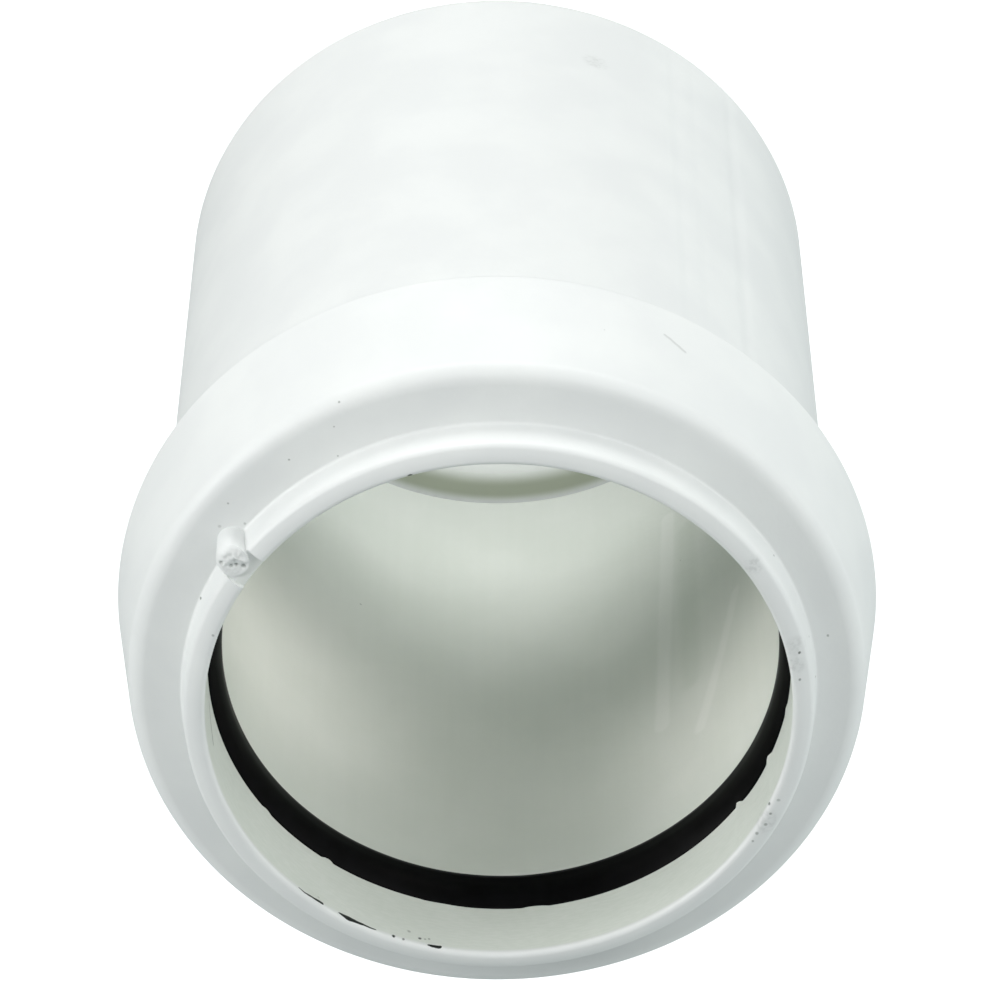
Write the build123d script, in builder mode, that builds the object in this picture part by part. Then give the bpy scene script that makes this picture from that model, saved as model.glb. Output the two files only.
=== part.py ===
# Push-fit waste reducer: a white moulded body with a rubber ring seal held behind its mouth lip.
# Millimetres. +Z runs along the axis, from the spigot end at z = 0 up to the mouth of the socket.
import os

from build123d import *

# Pipe that pushes into the mouth, and the room around it
pipe_diameter = 34.6
mouth_clearance = 0.1
bore_clearance = 0.95

# Walls and steps, measured outwards from the axis
lip_wall = 1.3
lip_draft = 0.15
groove_depth = 2.8
collar_front_wall = 1.6
collar_rear_wall = 2.85
spigot_wall = 2.25

# Lengths along the axis, from the spigot end up to the mouth
spigot_length = 42.05
groove_floor_wall = 2.6
groove_width = 4.6
groove_roof_wall = 2.4
lip_height = 2.35
face_fall = 0.45

# Edge breaks of the body
spigot_chamfer = 0.7
bore_chamfer = 0.5
collar_rear_chamfer = 0.3
shoulder_round = 1.25
lip_outer_round = 0.4
lip_inner_round = 0.45

# Rubber ring: its bite on the pipe, its sealing lip and its room in the groove
seal_squeeze = 0.4
seal_tuck = 0.2
seal_entry = 1.15
seal_land = 1.5
seal_back_slope = 0.7
seal_heel_setback = 0.9
seal_side_clearance = 0.05
seal_top_clearance = 0.1

# Broken gate stub on the lip's outer wall, with a trimmed flat between it and the mouth
gate_angle = -35.2
gate_diameter = 1.95
gate_flat_width = 2.25
gate_flat_depth = 0.12
gate_tear_depth = 0.22
gate_ridge_radius = 0.5
gate_ridge_width = 0.3
gate_ridge_sweep = 130
gate_ridge_height = 0.2

# Radii that follow from the sizes above
pipe_radius = pipe_diameter / 2
mouth_radius = pipe_radius + mouth_clearance
lip_radius = mouth_radius + lip_wall
lip_root_radius = lip_radius + lip_draft
groove_radius = mouth_radius + groove_depth
collar_front_radius = groove_radius + collar_front_wall
collar_rear_radius = groove_radius + collar_rear_wall
bore_radius = pipe_radius + bore_clearance
spigot_radius = bore_radius + spigot_wall

# Heights that follow from the sizes above
collar_rear_z = spigot_length
groove_floor_z = collar_rear_z + groove_floor_wall
groove_roof_z = groove_floor_z + groove_width
face_z = groove_roof_z + groove_roof_wall
shoulder_z = face_z - face_fall
mouth_z = face_z + lip_height

os.makedirs("parts", exist_ok=True)

# Corners of the body's half section, as (radius, height)
bore_end = (bore_radius, 0)
spigot_end = (spigot_radius, 0)
collar_root = (spigot_radius, collar_rear_z)
collar_rear = (collar_rear_radius, collar_rear_z)
shoulder = (collar_front_radius, shoulder_z)
lip_root = (lip_root_radius, face_z)
lip_outer = (lip_radius, mouth_z)
lip_inner = (mouth_radius, mouth_z)
mouth_end = (mouth_radius, groove_roof_z)
groove_roof = (groove_radius, groove_roof_z)
groove_floor = (groove_radius, groove_floor_z)
bore_start = (bore_radius, groove_floor_z)

corner_chamfers = [
    (bore_end, bore_chamfer),
    (spigot_end, spigot_chamfer),
    (collar_rear, collar_rear_chamfer),
]
corner_rounds = [
    (shoulder, shoulder_round),
    (lip_outer, lip_outer_round),
    (lip_inner, lip_inner_round),
]

# Body: the revolved section, then the gate stub and the flat beside it on the lip
with BuildPart() as reducer_body:
    with BuildSketch(Plane.XZ) as section:
        with BuildLine():
            Polyline(
                bore_end, spigot_end, collar_root, collar_rear, shoulder, lip_root,
                lip_outer, lip_inner, mouth_end, groove_roof, groove_floor, bore_start,
                close=True,
            )
        make_face()
        for corner, size in corner_chamfers:
            chamfer(section.vertices().sort_by_distance(corner)[0], size)
        for corner, radius in corner_rounds:
            fillet(section.vertices().sort_by_distance(corner)[0], radius)
    revolve(axis=Axis.Z)

    gate_flat_z = mouth_z - gate_flat_depth
    gate_end_z = mouth_z - gate_tear_depth
    gate_place = PolarLocations(lip_radius, 1, start_angle=gate_angle)

    with BuildSketch(Plane.XY.offset(gate_flat_z)) as flat:
        with PolarLocations(mouth_radius, 1, start_angle=gate_angle):
            Rectangle(2 * lip_wall, gate_flat_width)
    extrude(flat.sketch, amount=lip_height, mode=Mode.SUBTRACT)

    with BuildSketch(Plane.XY.offset(gate_end_z)) as torn_end:
        with gate_place:
            Circle(gate_diameter / 2)
    extrude(torn_end.sketch, amount=shoulder_z - gate_end_z)
    extrude(torn_end.sketch, amount=lip_height, mode=Mode.SUBTRACT)

    with BuildSketch(Plane.XY.offset(gate_end_z)) as ridge:
        with gate_place:
            ridge_arc = CenterArc((0, 0), gate_ridge_radius, -gate_ridge_sweep / 2, gate_ridge_sweep)
            SlotArc(ridge_arc, gate_ridge_width)
    extrude(ridge.sketch, amount=gate_ridge_height)

reducer_body.part.label = "reducer_body"
export_step(reducer_body.part, "parts/reducer_body.step")

# Seal: a sealing lip with a sloped lead-in towards the mouth, on a heel that sits on the groove's floor
seal_top_z = groove_roof_z - seal_top_clearance
land_top_z = seal_top_z - seal_entry
land_bottom_z = land_top_z - seal_land
seal_radius = pipe_radius - seal_squeeze
seal_outer_radius = groove_radius - seal_side_clearance

seal_mouth = (mouth_radius + seal_tuck, seal_top_z)
land_top = (seal_radius, land_top_z)
land_bottom = (seal_radius, land_bottom_z)
lip_back = (seal_radius + seal_back_slope, land_bottom_z - seal_back_slope)
heel = (bore_radius + seal_heel_setback, groove_floor_z)
seal_foot = (seal_outer_radius, groove_floor_z)
seal_crown = (seal_outer_radius, seal_top_z)

with BuildPart() as seal_ring:
    with BuildSketch(Plane.XZ):
        with BuildLine():
            Polyline(
                seal_mouth, land_top, land_bottom, lip_back, heel, seal_foot, seal_crown,
                close=True,
            )
        make_face()
    revolve(axis=Axis.Z)

seal_ring.part.label = "seal_ring"
export_step(seal_ring.part, "parts/seal_ring.step")
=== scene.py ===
import math
import bmesh
import bpy
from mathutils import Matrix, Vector, noise


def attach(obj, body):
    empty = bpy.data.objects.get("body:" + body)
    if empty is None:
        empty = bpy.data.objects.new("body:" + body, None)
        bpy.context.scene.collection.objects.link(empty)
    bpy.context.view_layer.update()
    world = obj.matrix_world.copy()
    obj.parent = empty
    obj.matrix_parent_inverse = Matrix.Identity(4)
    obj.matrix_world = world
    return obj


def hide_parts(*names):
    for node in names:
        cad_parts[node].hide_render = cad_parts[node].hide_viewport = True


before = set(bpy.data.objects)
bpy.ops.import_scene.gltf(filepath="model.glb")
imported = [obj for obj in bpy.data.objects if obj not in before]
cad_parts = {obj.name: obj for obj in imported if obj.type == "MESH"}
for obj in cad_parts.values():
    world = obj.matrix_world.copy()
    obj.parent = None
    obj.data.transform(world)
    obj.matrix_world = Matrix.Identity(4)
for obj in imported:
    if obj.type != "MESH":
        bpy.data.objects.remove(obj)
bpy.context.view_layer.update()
mm = 0.001
weld = 0.001 * mm
print("frame loaded with", sorted(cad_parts))


# Modelling helpers

def deselectAll():
    bpy.ops.object.select_all(action="DESELECT")


def polar(radius, angle, height):  # millimetres and degrees to a point in metres
    turn = math.radians(angle)
    return Vector((radius * math.cos(turn), radius * math.sin(turn), height)) * mm


def angleOf(point):
    return math.degrees(math.atan2(point.y, point.x))


def turnSection(name, section, steps):
    # extrude one ring after another round the section, then close it on the first
    deselectAll()
    radius, height = section[0]
    bpy.ops.mesh.primitive_circle_add(vertices=steps, radius=radius * mm, location=(0, 0, height * mm))
    piece = bpy.context.object
    piece.name = name
    bpy.ops.object.transform_apply(location=True, rotation=False, scale=False)
    bpy.ops.object.mode_set(mode="EDIT")
    bpy.ops.mesh.select_all(action="SELECT")
    for nextRadius, nextHeight in section[1:] + section[:1]:
        rise = (nextHeight - height) * mm
        grow = nextRadius / radius
        bpy.ops.mesh.extrude_edges_move(TRANSFORM_OT_translate={"value": (0, 0, rise)})
        bpy.ops.transform.resize(value=(grow, grow, 1), center_override=(0, 0, nextHeight * mm))
        radius, height = nextRadius, nextHeight
    bpy.ops.mesh.select_all(action="SELECT")
    bpy.ops.mesh.remove_doubles(threshold=weld)
    bpy.ops.mesh.normals_make_consistent(inside=False)
    bpy.ops.object.mode_set(mode="OBJECT")
    return piece


def atRing(point, corner):
    radius, height = corner
    near = 0.004 * mm
    return abs(point.z - height * mm) < near and abs(point.xy.length - radius * mm) < near


def roundRing(piece, section, corner, radius, segments):
    # bevel the ring of edges at one corner of the section; the width follows from the round's radius
    index = section.index(corner)
    before = Vector(section[index - 1]) - Vector(corner)
    after = Vector(section[(index + 1) % len(section)]) - Vector(corner)
    width = radius / math.tan(before.angle(after) / 2) * mm
    deselectAll()
    piece.select_set(True)
    bpy.context.view_layer.objects.active = piece
    bpy.ops.object.mode_set(mode="EDIT")
    bpy.ops.mesh.select_mode(type="EDGE")
    bpy.ops.mesh.select_all(action="DESELECT")
    shape = bmesh.from_edit_mesh(piece.data)
    for edge in shape.edges:
        edge.select_set(all(atRing(vert.co, corner) for vert in edge.verts))
    bmesh.update_edit_mesh(piece.data)
    bpy.ops.mesh.bevel(offset=width, offset_type="OFFSET", segments=segments, profile=0.5, affect="EDGES")
    bpy.ops.object.mode_set(mode="OBJECT")


def carve(piece, tool, operation):
    # cut a tool out of the piece, or melt it in, and throw the tool away
    deselectAll()
    bpy.context.view_layer.objects.active = piece
    joint = piece.modifiers.new("carve", "BOOLEAN")
    joint.operation = operation
    joint.solver = "EXACT"
    joint.object = tool
    bpy.ops.object.modifier_apply(modifier=joint.name)
    bpy.data.objects.remove(tool)


def dragRing(piece, corner, drags):
    # nudge parts of one ring: each drag is (angle, half width in degrees, outward mm, upward mm)
    for vert in piece.data.vertices:
        if not atRing(vert.co, corner):
            continue
        here = angleOf(vert.co)
        outward = Vector((vert.co.x, vert.co.y, 0)).normalized()
        for angle, half, out, up in drags:
            off = (here - angle + 180) % 360 - 180
            share = max(0.0, 1 - (off / half) ** 2) ** 0.5
            vert.co += (outward * out + Vector((0, 0, up))) * share * mm


def drawIn(piece, pull):
    # draw one side in towards the axis: none at fromZ, all of it from fullZ up, fading round the piece
    for vert in piece.data.vertices:
        radius = vert.co.xy.length / mm
        rise = (vert.co.z / mm - pull["fromZ"]) / (pull["fullZ"] - pull["fromZ"])
        around = math.cos(math.radians(angleOf(vert.co) - pull["angle"]))
        if radius < pull["radius"] and rise > 0 and around > 0:
            vert.co.xy *= 1 - pull["amount"] * around * min(1.0, rise) / radius


def smoothPiece(piece, angle):
    # smooth shading with creases, weighted so that broad faces stay even next to small rounds
    deselectAll()
    piece.select_set(True)
    bpy.context.view_layer.objects.active = piece
    bpy.ops.object.shade_smooth_by_angle(angle=math.radians(angle))
    even = piece.modifiers.new("even", "WEIGHTED_NORMAL")
    even.keep_sharp = True
    bpy.ops.object.modifier_apply(modifier=even.name)


# Body: the moulded reducer, in millimetres from its axis and from the floor

body = {
    "steps": 480,
    "boreRadius": 18.25,
    "spigotRadius": 20.5,
    "spigotRound": 0.7,
    "collarZ": 42.05,
    "collarRadius": 23.05,
    "shoulderRadius": 21.8,
    "shoulderZ": 51.2,
    "faceZ": 51.65,
    "lipRootRadius": 18.85,
    "lipRadius": 18.65,
    "lipFall": 0.3,
    "crownRadius": 17.95,
    "mouthRadius": 17.4,
    "mouthZ": 54.0,
    "grooveRadius": 20.2,
    "grooveFloorZ": 44.65,
    "grooveRoofZ": 49.25,
    "creaseAngle": 32,
    "lipPull": {"angle": -55, "amount": 0.35, "radius": 20.2, "fromZ": 49.25, "fullZ": 51.65},
}


def makeBody():
    b = body
    boreEnd = (b["boreRadius"], 0.0)
    spigotEnd = (b["spigotRadius"], 0.0)
    collarRoot = (b["spigotRadius"], b["collarZ"])
    collarRear = (b["collarRadius"], b["collarZ"])
    shoulder = (b["shoulderRadius"], b["shoulderZ"])
    lipRoot = (b["lipRootRadius"], b["faceZ"])
    lipOuter = (b["lipRadius"], b["mouthZ"] - b["lipFall"])
    lipCrown = (b["crownRadius"], b["mouthZ"])
    lipInner = (b["mouthRadius"], b["mouthZ"])
    mouthEnd = (b["mouthRadius"], b["grooveRoofZ"])
    grooveRoof = (b["grooveRadius"], b["grooveRoofZ"])
    grooveFloor = (b["grooveRadius"], b["grooveFloorZ"])
    boreStart = (b["boreRadius"], b["grooveFloorZ"])
    section = [
        boreEnd, spigotEnd, collarRoot, collarRear, shoulder, lipRoot,
        lipOuter, lipCrown, lipInner, mouthEnd, grooveRoof, grooveFloor, boreStart,
    ]
    piece = turnSection("reducerBody", section, b["steps"])
    rounds = [
        (boreEnd, 0.5, 3), (spigotEnd, b["spigotRound"], 4), (collarRoot, 0.3, 3), (collarRear, 0.3, 4),
        (shoulder, 1.25, 9), (lipRoot, 0.2, 3), (lipOuter, 0.45, 6), (lipCrown, 1.2, 4), (lipInner, 0.3, 5),
        (boreStart, 0.2, 3),
    ]
    for corner, radius, segments in rounds:
        roundRing(piece, section, corner, radius, segments)
    return piece


reducerBody = makeBody()
print("body turned:", len(reducerBody.data.polygons), "faces")


# Gate: the stub left on the lip where the feed was broken off, and the flat trimmed beside it

gate = {
    "angle": -34.6,
    "radius": 18.88,
    "diameter": 1.95,
    "tearDepth": 0.18,
    "rimDrop": 0.4,
    "rimWidth": 0.42,
    "flatWidth": 2.25,
    "flatDepth": 0.36,
    "sides": 96,
    "tearRings": 16,
    "ridge": [((0.47, 0.12), (-0.1, -0.37)), ((-0.1, -0.37), (-0.71, -0.09))],
    "ridgeHeight": 0.13,
    "ridgeWidth": 0.15,
    "pits": [((0.62, 0.12), 0.13), ((0.1, 0.28), 0.1), ((-0.2, 0.22), 0.12), ((-0.64, 0.31), 0.14)],
    "pitDepth": 0.2,
    # painted shade darkens the colour in and round each pit
    "pitPaintedShade": 0.36,
    "pitPaintedShadeSpread": 1.3,  # a pit's painted shade is this much wider than the pit
    "grain": 0.05,
    "grainScale": 5.0,
    "rimFade": 4,  # the tear's relief dies out towards the rim, over 1 / 4 mm
    "craterDepth": 0.1,  # the lip is cleared this far below the tear before the stub goes in
}


def distanceToRun(point, start, end):
    run = end - start
    share = max(0.0, min(1.0, (point - start).dot(run) / run.length_squared))
    return (point - start - run * share).length


def tearHeight(point):
    # height of the torn face over its own level, for a point in millimetres from the stub's axis
    rise = 0.0
    for start, end in gate["ridge"]:
        away = distanceToRun(point, Vector(start), Vector(end)) / gate["ridgeWidth"]
        rise = max(rise, gate["ridgeHeight"] * math.exp(-away ** 2))
    for centre, radius in gate["pits"]:
        away = (point - Vector(centre)).length / radius
        rise -= gate["pitDepth"] * math.exp(-away ** 2)
    return rise + gate["grain"] * noise.noise(Vector((point.x, point.y, 0)) * gate["grainScale"])


def makeStub():
    g = gate
    centre = polar(g["radius"], g["angle"], body["mouthZ"] - g["tearDepth"])
    deselectAll()
    bpy.ops.mesh.primitive_circle_add(
        vertices=g["sides"], radius=g["diameter"] / 2 * mm, fill_type="NGON", location=centre
    )
    stub = bpy.context.object
    bpy.ops.object.transform_apply(location=True, rotation=False, scale=False)
    bpy.ops.object.mode_set(mode="EDIT")
    bpy.ops.mesh.select_mode(type="FACE")
    bpy.ops.mesh.select_all(action="SELECT")
    bpy.ops.mesh.normals_make_consistent(inside=False)
    drop = (body["shoulderZ"] - body["mouthZ"] + g["tearDepth"]) * mm
    bpy.ops.mesh.extrude_region_move(TRANSFORM_OT_translate={"value": (0, 0, drop)})
    shape = bmesh.from_edit_mesh(stub.data)
    for face in shape.faces:
        face.select_set(False)
    top = max(shape.faces, key=lambda face: face.calc_center_median().z)
    top.select_set(True)
    bmesh.update_edit_mesh(stub.data)
    for _ in range(g["tearRings"] - 1):
        bpy.ops.mesh.inset(thickness=g["diameter"] / 2 / g["tearRings"] * mm)
    bpy.ops.mesh.poke()
    bpy.ops.mesh.select_all(action="SELECT")
    bpy.ops.mesh.normals_make_consistent(inside=False)
    bpy.ops.object.mode_set(mode="OBJECT")
    for vert in stub.data.vertices:
        if abs(vert.co.z - centre.z) < weld:
            spot = (vert.co - centre).xy / mm
            edge = g["diameter"] / 2 - spot.length
            outward = max(0.0, spot.dot(centre.xy.normalized()) / max(spot.length, 0.01)) ** 0.5
            rim = max(0.0, 1 - edge / g["rimWidth"]) ** 2
            relief = tearHeight(spot) * min(1.0, edge * g["rimFade"])
            vert.co.z += (relief - g["rimDrop"] * outward * rim) * mm
    return stub


def makeCutter(location, size, angle):
    deselectAll()
    bpy.ops.mesh.primitive_cube_add(size=1, location=location, rotation=(0, 0, math.radians(angle)))
    cutter = bpy.context.object
    cutter.scale = size
    bpy.ops.object.transform_apply(location=True, rotation=True, scale=True)
    return cutter


def makeGate():
    g = gate
    over = 1.0  # height of the cutting tools
    flatMiddle = polar(body["mouthRadius"], g["angle"], body["mouthZ"] - g["flatDepth"] + over / 2)
    wall = g["radius"] - body["mouthRadius"]
    flat = makeCutter(flatMiddle, Vector((2 * wall, g["flatWidth"], over)) * mm, g["angle"])
    carve(reducerBody, flat, "DIFFERENCE")
    craterFloor = body["mouthZ"] - g["tearDepth"] - g["craterDepth"]
    deselectAll()
    bpy.ops.mesh.primitive_cylinder_add(
        vertices=g["sides"], radius=g["diameter"] / 2 * mm, depth=over * mm,
        location=polar(g["radius"], g["angle"], craterFloor + over / 2),
    )
    crater = bpy.context.object
    bpy.ops.object.transform_apply(location=True, rotation=False, scale=False)
    carve(reducerBody, crater, "DIFFERENCE")
    carve(reducerBody, makeStub(), "UNION")


makeGate()
drawIn(reducerBody, body["lipPull"])
print("gate stub joined")

# Burrs and chips: the lead-in's back edge with its bits of plastic, and nicks in the far rim, as drags
burrs = {
    "leadInEdge": [
        (0, 75, -0.16, 0.0), (140, 60, 0.16, 0.0), (159.0, 0.9, -0.1, -0.14), (152.5, 5.6, 0.03, 0.14),
        (146.4, 0.9, -0.11, -0.17), (97.6, 2.4, -0.02, -0.1), (53.3, 1.2, -0.06, -0.12),
        (171.0, 0.9, -0.04, -0.06), (36.0, 1.0, -0.04, -0.07),
    ],
    "farRim": [(-124.2, 1.2, -0.1, 0.0), (-138.2, 1.4, -0.12, 0.0), (-128.5, 0.8, -0.05, 0.0)],
}
dragRing(reducerBody, (body["mouthRadius"], body["grooveRoofZ"]), burrs["leadInEdge"])
dragRing(reducerBody, (body["spigotRadius"], body["spigotRound"]), burrs["farRim"])
smoothPiece(reducerBody, body["creaseAngle"])
print("body finished:", len(reducerBody.data.polygons), "faces")

# Seal: a rubber ring in the groove, with a rounded lip that bears on the pipe
seal = {
    "steps": 384,
    "outerRadius": 20.15,
    "footZ": 44.65,
    "topZ": 49.15,
    "mouthRadius": 17.6,
    "landRadius": 16.9,
    "landTopZ": 48.0,
    "landBottomZ": 46.5,
    "backRadius": 17.6,
    "backZ": 45.8,
    "heelRadius": 19.15,
    "creaseAngle": 40,
    "pull": {"angle": 5, "amount": 0.42, "radius": 18.6, "fromZ": 44.8, "fullZ": 46.5},
}


def makeSeal():
    s = seal
    topInner = (s["mouthRadius"], s["topZ"])
    landTop = (s["landRadius"], s["landTopZ"])
    landBottom = (s["landRadius"], s["landBottomZ"])
    back = (s["backRadius"], s["backZ"])
    heel = (s["heelRadius"], s["footZ"])
    foot = (s["outerRadius"], s["footZ"])
    crown = (s["outerRadius"], s["topZ"])
    section = [topInner, crown, foot, heel, back, landBottom, landTop]
    piece = turnSection("sealRing", section, s["steps"])
    rounds = [
        (landTop, 2.0, 8), (landBottom, 1.2, 6), (topInner, 0.3, 4),
        (back, 0.8, 4), (crown, 0.3, 3), (foot, 0.3, 3),
    ]
    for corner, radius, segments in rounds:
        roundRing(piece, section, corner, radius, segments)
    return piece


sealRing = makeSeal()
drawIn(sealRing, seal["pull"])
smoothPiece(sealRing, seal["creaseAngle"])
print("seal turned:", len(sealRing.data.polygons), "faces")


# Shader maths

def setStops(ramp, stops):
    for place, _ in stops[1:-1]:
        ramp.elements.new(place)
    for element, (place, value) in zip(ramp.elements, stops):
        element.position = place
        element.color = (value, value, value, 1)


class Wire:
    # one socket of a node tree; sums and products of wires add Math nodes
    def __init__(self, tree, socket):
        self.tree = tree
        self.socket = socket

    def node(self, kind, settings=None, sockets=None, out=0):
        made = self.tree.nodes.new(kind)
        for key, value in (settings or {}).items():
            if key == "stops":
                setStops(made.color_ramp, value)
            else:
                setattr(made, key, value)
        for key, value in (sockets or {}).items():
            if isinstance(value, Wire):
                self.tree.links.new(value.socket, made.inputs[key])
            else:
                made.inputs[key].default_value = value
        return Wire(self.tree, made.outputs[out])

    def other(self, name):  # another output of the same node
        return Wire(self.tree, self.socket.node.outputs[name])

    def maths(self, operation, *values):
        sockets = dict(enumerate([self, *values]))
        return self.node("ShaderNodeMath", {"operation": operation}, sockets)

    def __add__(self, value):
        return self.maths("ADD", value)

    __radd__ = __add__

    def __sub__(self, value):
        return self.maths("SUBTRACT", value)

    def __rsub__(self, value):
        return self.maths("MULTIPLY", -1.0) + value

    def __mul__(self, value):
        return self.maths("MULTIPLY", value)

    __rmul__ = __mul__

    def __truediv__(self, value):
        return self.maths("DIVIDE", value)

    def ease(self, low, high, top=1.0):  # 0 at low, top at high, smooth between them
        sockets = {"Value": self, "From Min": low, "From Max": high, "To Max": top}
        return self.node("ShaderNodeMapRange", {"interpolation_type": "SMOOTHSTEP"}, sockets)

    def ramp(self, stops):  # straight lines between (place, value) stops, places and values from 0 to 1
        grey = self.node("ShaderNodeValToRGB", {"stops": stops}, {0: self})
        return grey.node("ShaderNodeSeparateColor", None, {0: grey})

    def tint(self, low, high):  # from one colour to another
        return self.node("ShaderNodeMix", {"data_type": "RGBA"}, {0: self, 6: low, 7: high}, out=2)


def colour(red, green, blue):  # screen values from 0 to 255 to a linear colour
    linear = [((value / 255 + 0.055) / 1.055) ** 2.4 for value in (red, green, blue)]
    return (*linear, 1)


def newMaterial(name):
    material = bpy.data.materials.new(name)
    material.use_nodes = True
    tree = material.node_tree
    shader = tree.nodes["Principled BSDF"]
    place = Wire(tree, tree.nodes.new("ShaderNodeTexCoord").outputs["Object"])
    return material, shader, place


def plug(wire, shader, name):
    wire.tree.links.new(wire.socket, shader.inputs[name])


def sizePlace(place):  # place on the piece in millimetres
    return place.node("ShaderNodeVectorMath", {"operation": "SCALE"}, {0: place, "Scale": 1 / mm})


def splitPlace(size):
    x = size.node("ShaderNodeSeparateXYZ", None, {0: size})
    return x, x.other("Y"), x.other("Z")


def axisRadius(size):
    x, y = splitPlace(size)[:2]
    return (x * x + y * y).maths("SQRT")


def axisAngle(size):
    x, y = splitPlace(size)[:2]
    return y.maths("ARCTAN2", x) * math.degrees(1)


def noiseAt(place, scale, detail=2.0, out=0):
    return place.node("ShaderNodeTexNoise", None, {"Vector": place, "Scale": scale, "Detail": detail}, out)


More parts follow.
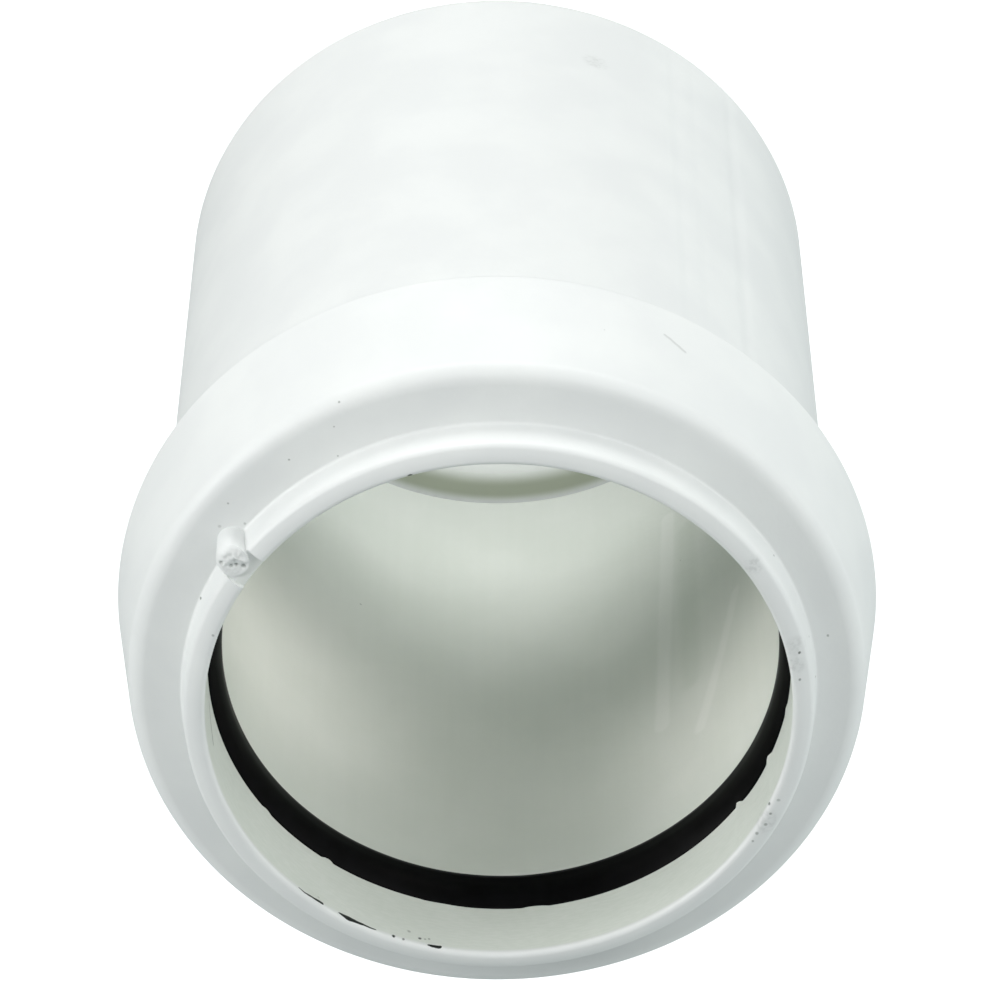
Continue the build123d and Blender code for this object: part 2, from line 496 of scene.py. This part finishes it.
# Plastic: white, with painted shade inside as darker, greener tones and painted reflection streaks down the
# bore, and the wear that the mouth and bore have
plastic = {
    "white": (0.84, 0.86, 0.845, 1),
    "dull": (0.81, 0.83, 0.82, 1),
    # painted shade: the inside's two tones are darker, greener copies of the white
    "innerShadedWhite": (0.79, 0.82, 0.77, 1),
    "innerShadedDull": (0.68, 0.725, 0.66, 1),
    "scuffColour": colour(16, 22, 19),
    "dirtAndShadeColour": colour(118, 124, 118),
    "ior": 1.49,
    "roughness": 0.4,
    "roughCloud": 0.1,
    "roughTear": 0.2,
    "roughDirtAndShade": 0.15,
    "bumpStrength": 0.05,
    "bumpDistance": 0.2 * mm,
    # the inside: the bore up to a radius, the lead-in above frontZ, both fading out below the lip's top
    "frontZ": (49.0, 49.3),
    "boreEdge": (18.45, 18.35),
    "leadInNarrower": 0.75,
    "lipTopZ": (53.75, 53.5),
    "mouthEdge": (18.0, 17.8),
    "cloudScale": 0.18,
    "cloudDetail": 3.0,
    "cloudStops": (0.35, 0.7),
    "peelScale": 2.2,
    # lines: how fast they change with height on the lead-in, with the angle, and with height in the bore
    "lineLeadIn": 6.0,
    "lineAngle": 0.45,
    "lineBore": 0.035,
    "lineStops": (0.3, 0.75),
    # how light the inside's painted shade is between its two shaded tones: a level, and what clouds, lines
    # and the painted reflection streaks add
    "innerShadeLevel": 0.35,
    "innerCloud": 0.25,
    "boreLines": 0.08,
    "leadInLines": 0.25,
    "streakPaint": 0.8,
    "wobble": 0.06,  # how far marks run from their drawn shape
    "wobbleScale": 2.5,
    "dotEdge": (1.25, 0.4),  # where a dot starts and is full, in half widths
    "tearHalf": 0.85,
    "tearPaintedShade": 0.15,
    "grainScale": 3.5,
    "grainStops": (0.58, 0.35),
    "smudgeLevel": 0.25,  # the share of a smudge that the grain leaves whole
    "dust": 0.4,
    "dustScale": 0.33,
    "dustSize": (0.035, 0.02),
    "dustShare": (0.8, 0.83),
    # black rubbing along the mouth's inner edge, as (angle, height, half width); a half width of 0 is bare
    "scuffs": [
        (46.5, 53.67, 0.0), (46.8, 53.67, 0.04), (48.7, 53.75, 0.06), (50.4, 53.68, 0.075),
        (52.9, 53.67, 0.1), (53.2, 53.67, 0.0), (56.5, 53.67, 0.0), (56.9, 53.67, 0.07),
        (58.9, 53.71, 0.14), (61.8, 53.71, 0.09), (65.0, 53.72, 0.05), (65.4, 53.72, 0.0),
        (75.8, 53.74, 0.0), (76.2, 53.74, 0.07), (78.2, 53.77, 0.12), (78.8, 53.72, 0.1), (79.0, 53.7, 0.0),
    ],
    "scuffBaseZ": 53.5,
    "scuffRise": 0.5,
    "scuffWidest": 0.15,
    "scuffSoft": 0.035,
    # black dots beside it, as (angle, radius, height, half size, strength)
    "scuffDots": [
        (68.9, 17.4, 53.73, 0.12, 1.1), (71.0, 17.41, 53.74, 0.1, 0.7), (72.1, 17.4, 52.84, 0.12, 0.4),
        (74.4, 17.4, 53.27, 0.12, 0.9), (75.5, 17.4, 53.22, 0.08, 0.5), (76.3, 17.4, 53.14, 0.1, 0.5),
        (51.8, 17.4, 53.34, 0.1, 0.2), (-73.2, 17.16, 53.92, 0.16, 1.1),
    ],
    # grey specks, as (angle, radius, height, half size, strength)
    "specks": [
        (-21.2, 18.56, 51.75, 0.1, 0.9), (-53.2, 19.98, 51.46, 0.08, 0.6),
        (-60.8, 18.75, 51.62, 0.07, 0.5), (-62.8, 20.43, 51.4, 0.07, 0.5), (-39.9, 20.3, 51.42, 0.08, 0.5),
        (-65.2, 21.57, 50.96, 0.08, 0.6), (-38.9, 18.76, 51.61, 0.1, 0.4), (-35.5, 19.78, 51.47, 0.12, 0.3),
        (-166.2, 18.17, 53.9, 0.09, 1.0), (-172.0, 17.92, 53.98, 0.1, 0.7),
        (-166.9, 18.81, 52.1, 0.08, 0.7), (-168.5, 19.86, 51.5, 0.09, 0.6),
        (-176.2, 18.84, 51.79, 0.09, 0.6), (-148.8, 18.83, 51.87, 0.08, 0.6),
        (158.3, 17.43, 53.82, 0.12, 0.9), (160.0, 17.8, 53.99, 0.12, 0.4), (156.6, 17.73, 54.0, 0.12, 0.7),
        (153.9, 17.82, 53.99, 0.13, 0.6), (151.3, 17.67, 53.99, 0.13, 0.6), (149.4, 17.75, 54.0, 0.1, 0.5),
        (-18.7, 17.46, 54.0, 0.1, 0.5),
    ],
    # soft broken smudges, in the same way
    "smudges": [
        (-164.6, 18.09, 53.93, 0.7, 0.15), (-168.6, 17.85, 53.99, 0.6, 0.2),
        (-145.0, 18.13, 53.92, 0.6, 0.2), (-108.0, 20.5, 7.5, 0.9, 0.17), (154.5, 17.75, 54.0, 0.9, 0.18),
    ],
    # thin scratches, as (start, end, half width, softness, strength)
    "scratches": [
        ((177.7, 17.4, 51.78), (168.0, 17.4, 50.6), 0.03, 0.1, 0.45),
        ((-115.6, 22.68, 44.77), (-119.0, 22.58, 45.52), 0.02, 0.14, 0.28),
        ((5.7, 17.24, 50.14), (11.9, 17.25, 51.75), 0.03, 0.13, 0.6),
    ],
    # painted reflection streaks down the bore, light and dark, as (start, end, half width, softness,
    # strength)
    "paintedLightStreaks": [
        ((129.2, 18.25, 9.0), (125.2, 18.25, 33.0), 0.25, 0.5, 0.8),
        ((147.3, 18.25, 25.0), (134.6, 18.25, 36.0), 0.2, 0.5, 0.6),
    ],
    "paintedDarkStreaks": [
        ((133.8, 18.25, 12.0), (133.0, 18.25, 30.0), 0.3, 0.9, 0.6),
    ],
}


def joinMasks(masks):
    whole = masks[0]
    for mask in masks[1:]:
        whole = whole.maths("MAXIMUM", mask)
    return whole


def inMillimetres(radius, angle, height):
    return polar(radius, angle, height) / mm


def dotMask(size, centre, half, strength):
    gap = size.node("ShaderNodeVectorMath", {"operation": "DISTANCE"}, {0: size, 1: centre}, "Value")
    outer, inner = plastic["dotEdge"]
    return gap.ease(half * outer, half * inner, strength)


def strokeMask(size, start, end, half, soft, strength):
    # a line with round ends between two points in millimetres
    run = end - start
    away = size.node("ShaderNodeVectorMath", {"operation": "SUBTRACT"}, {0: size, 1: start})
    perRun = run / run.length_squared
    along = away.node("ShaderNodeVectorMath", {"operation": "DOT_PRODUCT"}, {0: away, 1: perRun}, "Value")
    share = along.node("ShaderNodeClamp", None, {"Value": along})
    foot = share.node("ShaderNodeVectorMath", {"operation": "SCALE"}, {0: run, "Scale": share})
    gap = foot.node("ShaderNodeVectorMath", {"operation": "DISTANCE"}, {0: away, 1: foot}, "Value")
    return gap.ease(half + soft, half, strength)


def strokesMask(size, strokes):
    masks = []
    for (angle, radius, height), (endAngle, endRadius, endHeight), half, soft, strength in strokes:
        start = inMillimetres(radius, angle, height)
        end = inMillimetres(endRadius, endAngle, endHeight)
        masks.append(strokeMask(size, start, end, half, soft, strength))
    return joinMasks(masks)


def scuffMask(angle, z):
    # two ramps along the angle give the rubbing's height and its half width
    p = plastic
    run = p["scuffs"]
    first = run[0][0]
    length = run[-1][0] - first
    along = (angle - first) / length
    heights = [((a - first) / length, (h - p["scuffBaseZ"]) / p["scuffRise"]) for a, h, _ in run]
    widths = [((a - first) / length, half / p["scuffWidest"]) for a, _, half in run]
    height = p["scuffBaseZ"] + p["scuffRise"] * along.ramp(heights)
    half = (p["scuffWidest"] + p["scuffSoft"]) * along.ramp(widths) - p["scuffSoft"]
    return ((z - height).maths("ABSOLUTE") - half).ease(p["scuffSoft"], 0.0)


def dotsMask(size, dots):
    masks = []
    for angle, radius, height, half, strength in dots:
        masks.append(dotMask(size, inMillimetres(radius, angle, height), half, strength))
    return joinMasks(masks)


# painted shade in the torn gate's pits, darker round each pit
def pitShadeMask(size, gateEnd):
    masks = []
    for (x, y), half in gate["pits"]:
        pit = gateEnd + Vector((x, y, -gate["pitDepth"] / 2))
        masks.append(dotMask(size, pit, half * gate["pitPaintedShadeSpread"], gate["pitPaintedShade"]))
    return joinMasks(masks)


def makePlastic():
    p = plastic
    material, shader, place = newMaterial("whitePlastic")
    size = sizePlace(place)
    radius = axisRadius(size)
    angle = axisAngle(size)
    z = splitPlace(size)[2]
    cloud = noiseAt(size, p["cloudScale"], p["cloudDetail"])
    peel = noiseAt(size, p["peelScale"])
    wander = noiseAt(size, p["wobbleScale"], out="Color")
    sway = {0: wander, 1: (2 * p["wobble"],) * 3, 2: (-p["wobble"],) * 3}
    shake = size.node("ShaderNodeVectorMath", {"operation": "MULTIPLY_ADD"}, sway)
    ragged = size.node("ShaderNodeVectorMath", {"operation": "ADD"}, {0: size, 1: shake})

    # inside: painted shade as darker, greener tones, fine turning lines on the lead-in, drag lines, and
    # painted light and dark reflection streaks down the bore
    front = z.ease(*p["frontZ"])
    inner = (radius + p["leadInNarrower"] * front).ease(*p["boreEdge"]) * z.ease(*p["lipTopZ"])
    leadIn = inner * front
    lineRun = {0: z * leadIn * p["lineLeadIn"], 1: angle * p["lineAngle"], 2: z * p["lineBore"]}
    linePlace = z.node("ShaderNodeCombineXYZ", None, lineRun)
    lines = noiseAt(linePlace, 1.0).ease(*p["lineStops"])
    # painted reflections: light and dark streaks down the bore stand in for reflections
    reflectionStreaks = strokesMask(size, p["paintedLightStreaks"]) - strokesMask(size, p["paintedDarkStreaks"])
    tone = cloud.ease(*p["cloudStops"])
    drawn = (p["boreLines"] + p["leadInLines"] * leadIn) * lines
    innerShadedTone = p["innerShadeLevel"] + p["innerCloud"] * tone + drawn + p["streakPaint"] * reflectionStreaks
    outside = tone.tint(p["dull"], p["white"])
    # painted shade: inside the mouth and bore the colour turns to the darker, greener shaded tones
    base = inner.tint(outside, innerShadedTone.tint(p["innerShadedDull"], p["innerShadedWhite"]))

    # torn gate: painted shade as darker grain over the broken face and in its pits, where the lip's pull
    # has drawn them
    lipPull = body["lipPull"]
    pull = lipPull["amount"] * math.cos(math.radians(gate["angle"] - lipPull["angle"]))
    gateEnd = inMillimetres(gate["radius"] - pull, gate["angle"], body["mouthZ"] - gate["tearDepth"])
    tear = dotMask(size, gateEnd, p["tearHalf"], 1.0)
    grain = noiseAt(size, p["grainScale"]).ease(*p["grainStops"])

    # dirt and painted shade: faint dust strewn at random, specks, scratches, smudges, and painted shade on
    # the torn gate and in its pits
    cells = size.node("ShaderNodeTexVoronoi", None, {"Vector": size, "Scale": p["dustScale"]})
    pick = cells.node("ShaderNodeSeparateColor", None, {0: cells.other("Color")})
    dust = cells.ease(*p["dustSize"]) * pick.ease(*p["dustShare"]) * p["dust"]
    specks = dotsMask(ragged, p["specks"])
    scratches = strokesMask(ragged, p["scratches"])
    smudges = dotsMask(size, p["smudges"]) * (p["smudgeLevel"] + (1 - p["smudgeLevel"]) * grain)
    # painted shade: darker grain over the torn face
    tearPaintedShade = p["tearPaintedShade"] * tear * grain
    dirtAndShade = joinMasks([specks, scratches, dust, smudges, tearPaintedShade, pitShadeMask(ragged, gateEnd)])
    # real dirt and the gate's painted shade share one darker colour
    base = dirtAndShade.tint(base, p["dirtAndShadeColour"])

    # black rubbing on the mouth's inner edge
    raggedZ = splitPlace(ragged)[2]
    onEdge = radius.ease(*p["mouthEdge"]) * front
    scuff = joinMasks([scuffMask(angle, raggedZ) * onEdge, dotsMask(ragged, p["scuffDots"])])
    base = scuff.tint(base, p["scuffColour"])

    plug(base, shader, "Base Color")
    rough = p["roughness"] + p["roughCloud"] * cloud + p["roughTear"] * tear + p["roughDirtAndShade"] * dirtAndShade
    plug(rough, shader, "Roughness")
    relief = {"Strength": p["bumpStrength"], "Distance": p["bumpDistance"], "Height": peel}
    plug(peel.node("ShaderNodeBump", None, relief), shader, "Normal")
    shader.inputs["IOR"].default_value = p["ior"]
    return material


# Rubber: black, with a faint sheen
rubber = {
    "black": (0.0018, 0.0018, 0.002, 1),
    "worn": (0.003, 0.003, 0.0035, 1),
    "roughness": 0.3,
    "roughCloud": 0.15,
    "cloudScale": 0.6,
    "cloudDetail": 5.0,
    "cloudStops": (0.4, 0.7),
    "fineScale": 9.0,
    "gloss": 0.05,
    "bumpStrength": 0.06,
    "bumpDistance": 0.05 * mm,
}


def makeRubber():
    r = rubber
    material, shader, place = newMaterial("blackRubber")
    size = sizePlace(place)
    cloud = noiseAt(size, r["cloudScale"], r["cloudDetail"])
    fine = noiseAt(size, r["fineScale"])
    plug(cloud.ease(*r["cloudStops"]).tint(r["black"], r["worn"]), shader, "Base Color")
    plug(r["roughness"] + r["roughCloud"] * cloud, shader, "Roughness")
    shader.inputs["Specular IOR Level"].default_value = r["gloss"]
    relief = {"Strength": r["bumpStrength"], "Distance": r["bumpDistance"], "Height": fine}
    plug(fine.node("ShaderNodeBump", None, relief), shader, "Normal")
    return material


reducerBody.data.materials.append(makePlastic())
sealRing.data.materials.append(makeRubber())
print("materials made")

for piece, node, slot in [
    (reducerBody, "reducer_body", "white_plastic"),
    (sealRing, "seal_ring", "black_rubber"),
]:
    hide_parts(node)
    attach(piece, "root")

# Floor: pale and glowing, with a painted shadow in a ring where the spigot's end stands on it and a dimmer
# painted glow inside the bore
floorLook = {
    "size": 8.0,
    "drop": 0.02,
    "colour": (0.86, 0.87, 0.87, 1),
    "shadeColour": (0.5, 0.53, 0.44, 1),
    "roughness": 0.8,
    "glowColour": (0.97, 1.0, 1.0, 1),
    "glowOutside": 0.85,
    "glowInBore": 0.25,
    "shadeFrom": 15.6,
    "shadeTo": 17.2,
    "shadeEnd": (18.4, 17.7),
    "glowFade": 0.7,
}


def makeFloor():
    deselectAll()
    bpy.ops.mesh.primitive_plane_add(size=floorLook["size"], location=(0, 0, -floorLook["drop"] * mm))
    floor = bpy.context.object
    floor.name = "floor"
    material, shader, place = newMaterial("paleFloor")
    radius = axisRadius(sizePlace(place))
    # painted shadow: the floor darkens to an olive ring just inside the spigot's end
    paintedRingShade = radius.ease(floorLook["shadeFrom"], floorLook["shadeTo"]) * radius.ease(*floorLook["shadeEnd"])
    plug(paintedRingShade.tint(floorLook["colour"], floorLook["shadeColour"]), shader, "Base Color")
    shader.inputs["Roughness"].default_value = floorLook["roughness"]
    shader.inputs["Emission Strength"].default_value = 1.0
    # painted glow: the floor glows dimmer inside the bore and full outside the spigot
    inBore = radius.ease(floorLook["shadeTo"], floorLook["shadeFrom"], floorLook["glowInBore"])
    wall = body["spigotRadius"]
    outside = radius.ease(wall - floorLook["glowFade"], wall, floorLook["glowOutside"])
    plug((inBore + outside).tint((0, 0, 0, 1), floorLook["glowColour"]), shader, "Emission Color")
    floor.data.materials.append(material)
    # the floor shows but throws no light back, so that the sides keep their soft grey edges
    floor.visible_diffuse = False
    floor.visible_glossy = False
    floor.visible_shadow = False


makeFloor()

# Light: soft boxes above and at both sides, one behind the open end, and five small ones inside the bore
warm = (1.0, 0.94, 0.93)
lights = {
    "top": {"place": (0, -0.66, 0.08), "aim": (0, 0, 0.03), "size": (1.0, 0.2), "power": 0.34},
    "topHigh": {"place": (0, -0.5, 0.45), "aim": (0, 0, 0.05), "size": (0.6, 0.2), "power": 0.81},
    "above": {"place": (0, -0.15, 0.9), "aim": (0, 0, 0.05), "size": (0.4, 0.4), "power": 0.25},
    "leftUp": {"place": (0.42, -0.3, 0.35), "aim": (0, 0, 0.05), "size": (0.2, 0.2), "power": 0.43},
    "leftLow": {"place": (0.6, -0.2, 0.2), "aim": (0, 0, 0.05), "size": (0.3, 0.3), "power": 2.05},
    "rightUp": {"place": (-0.36, -0.42, 0.3), "aim": (0, 0, 0.05), "size": (0.2, 0.2), "power": 0.53},
    "rightLow": {"place": (-0.6, -0.2, 0.2), "aim": (0, 0, 0.05), "size": (0.3, 0.3), "power": 0.87},
    "back": {"place": (0, -0.5, -0.22), "aim": (0, 0, 0), "size": (0.6, 0.2), "power": 1.78},
    "boreDeep": {
        "place": (0, -0.0145, 0.005), "aim": (0, 0.018, 0.007),
        "size": (0.018, 0.006), "power": 0.0003, "spread": 80,
    },
    "boreMid": {
        "place": (0, -0.0145, 0.013), "aim": (0, 0.018, 0.014),
        "size": (0.018, 0.006), "power": 0.00035, "spread": 80,
    },
    "boreLeft": {
        "place": (-0.0095, -0.0115, 0.04), "aim": (0.0135, 0.0122, 0.037),
        "size": (0.01, 0.008), "power": 0.0002, "spread": 70, "colour": warm,
    },
    "boreLeftLow": {
        "place": (-0.0115, -0.0085, 0.034), "aim": (0.0155, 0.0095, 0.03),
        "size": (0.01, 0.008), "power": 0.0004, "spread": 50, "colour": warm,
    },
    "boreRight": {
        "place": (0.0115, -0.0085, 0.04), "aim": (-0.0155, 0.0095, 0.037),
        "size": (0.01, 0.008), "power": 0.00036, "spread": 50, "colour": warm,
    },
}


def makeLights():
    for name, light in lights.items():
        lamp = bpy.data.lights.new(name + "Light", "AREA")
        lamp.shape = "RECTANGLE"
        lamp.size, lamp.size_y = light["size"]
        lamp.energy = light["power"]
        lamp.color = light.get("colour", (1, 1, 1))
        lamp.spread = math.radians(light.get("spread", 180))
        holder = bpy.data.objects.new(name + "Light", lamp)
        bpy.context.scene.collection.objects.link(holder)
        holder.location = light["place"]
        beam = Vector(light["aim"]) - Vector(light["place"])
        holder.rotation_euler = beam.to_track_quat("-Z", "Y").to_euler()
        holder.visible_camera = False


# World: pale to look at, and lighting the part from its two sides and from the bottom of the picture
studio = {
    "left": 0.28,
    "right": 0.59,
    "low": 0.55,
    "fill": 0.005,
    "colour": (0.92, 1.0, 1.0, 1),
    "backdrop": (0.93, 0.95, 0.95, 1),
}


def makeWorld():
    world = bpy.data.worlds.new("studio")
    world.use_nodes = True
    tree = world.node_tree
    way = Wire(tree, tree.nodes.new("ShaderNodeTexCoord").outputs["Generated"])
    x = way.node("ShaderNodeSeparateXYZ", None, {0: way})
    left = studio["left"] * x.maths("MAXIMUM", 0.0)
    right = studio["right"] * (0 - x).maths("MAXIMUM", 0.0)
    low = studio["low"] * x.other("Y").maths("MAXIMUM", 0.0)
    level = studio["fill"] + left + right + low
    lit = level.tint((0, 0, 0, 1), studio["colour"])
    seen = way.node("ShaderNodeLightPath", None, None, "Is Camera Ray")
    tree.links.new(seen.tint(lit, studio["backdrop"]).socket, tree.nodes["Background"].inputs["Color"])
    bpy.context.scene.world = world


makeLights()
makeWorld()

# Camera: the photo's own angle, rolled over so that the mouth lies at the bottom of the picture
camera = {
    "place": (-0.00018, -0.16908, 0.306133),
    "turn": (-31.457, 0.0, 180.0),
    "lens": 185.73,
    "sensor": 36,
}


def makeCamera():
    data = bpy.data.cameras.new("photoCamera")
    data.sensor_width = camera["sensor"]
    data.lens = camera["lens"]
    holder = bpy.data.objects.new("photoCamera", data)
    bpy.context.scene.collection.objects.link(holder)
    holder.location = camera["place"]
    holder.rotation_euler = [math.radians(angle) for angle in camera["turn"]]
    bpy.context.scene.camera = holder


makeCamera()
bpy.context.scene.view_settings.view_transform = "Standard"
print("stage set")
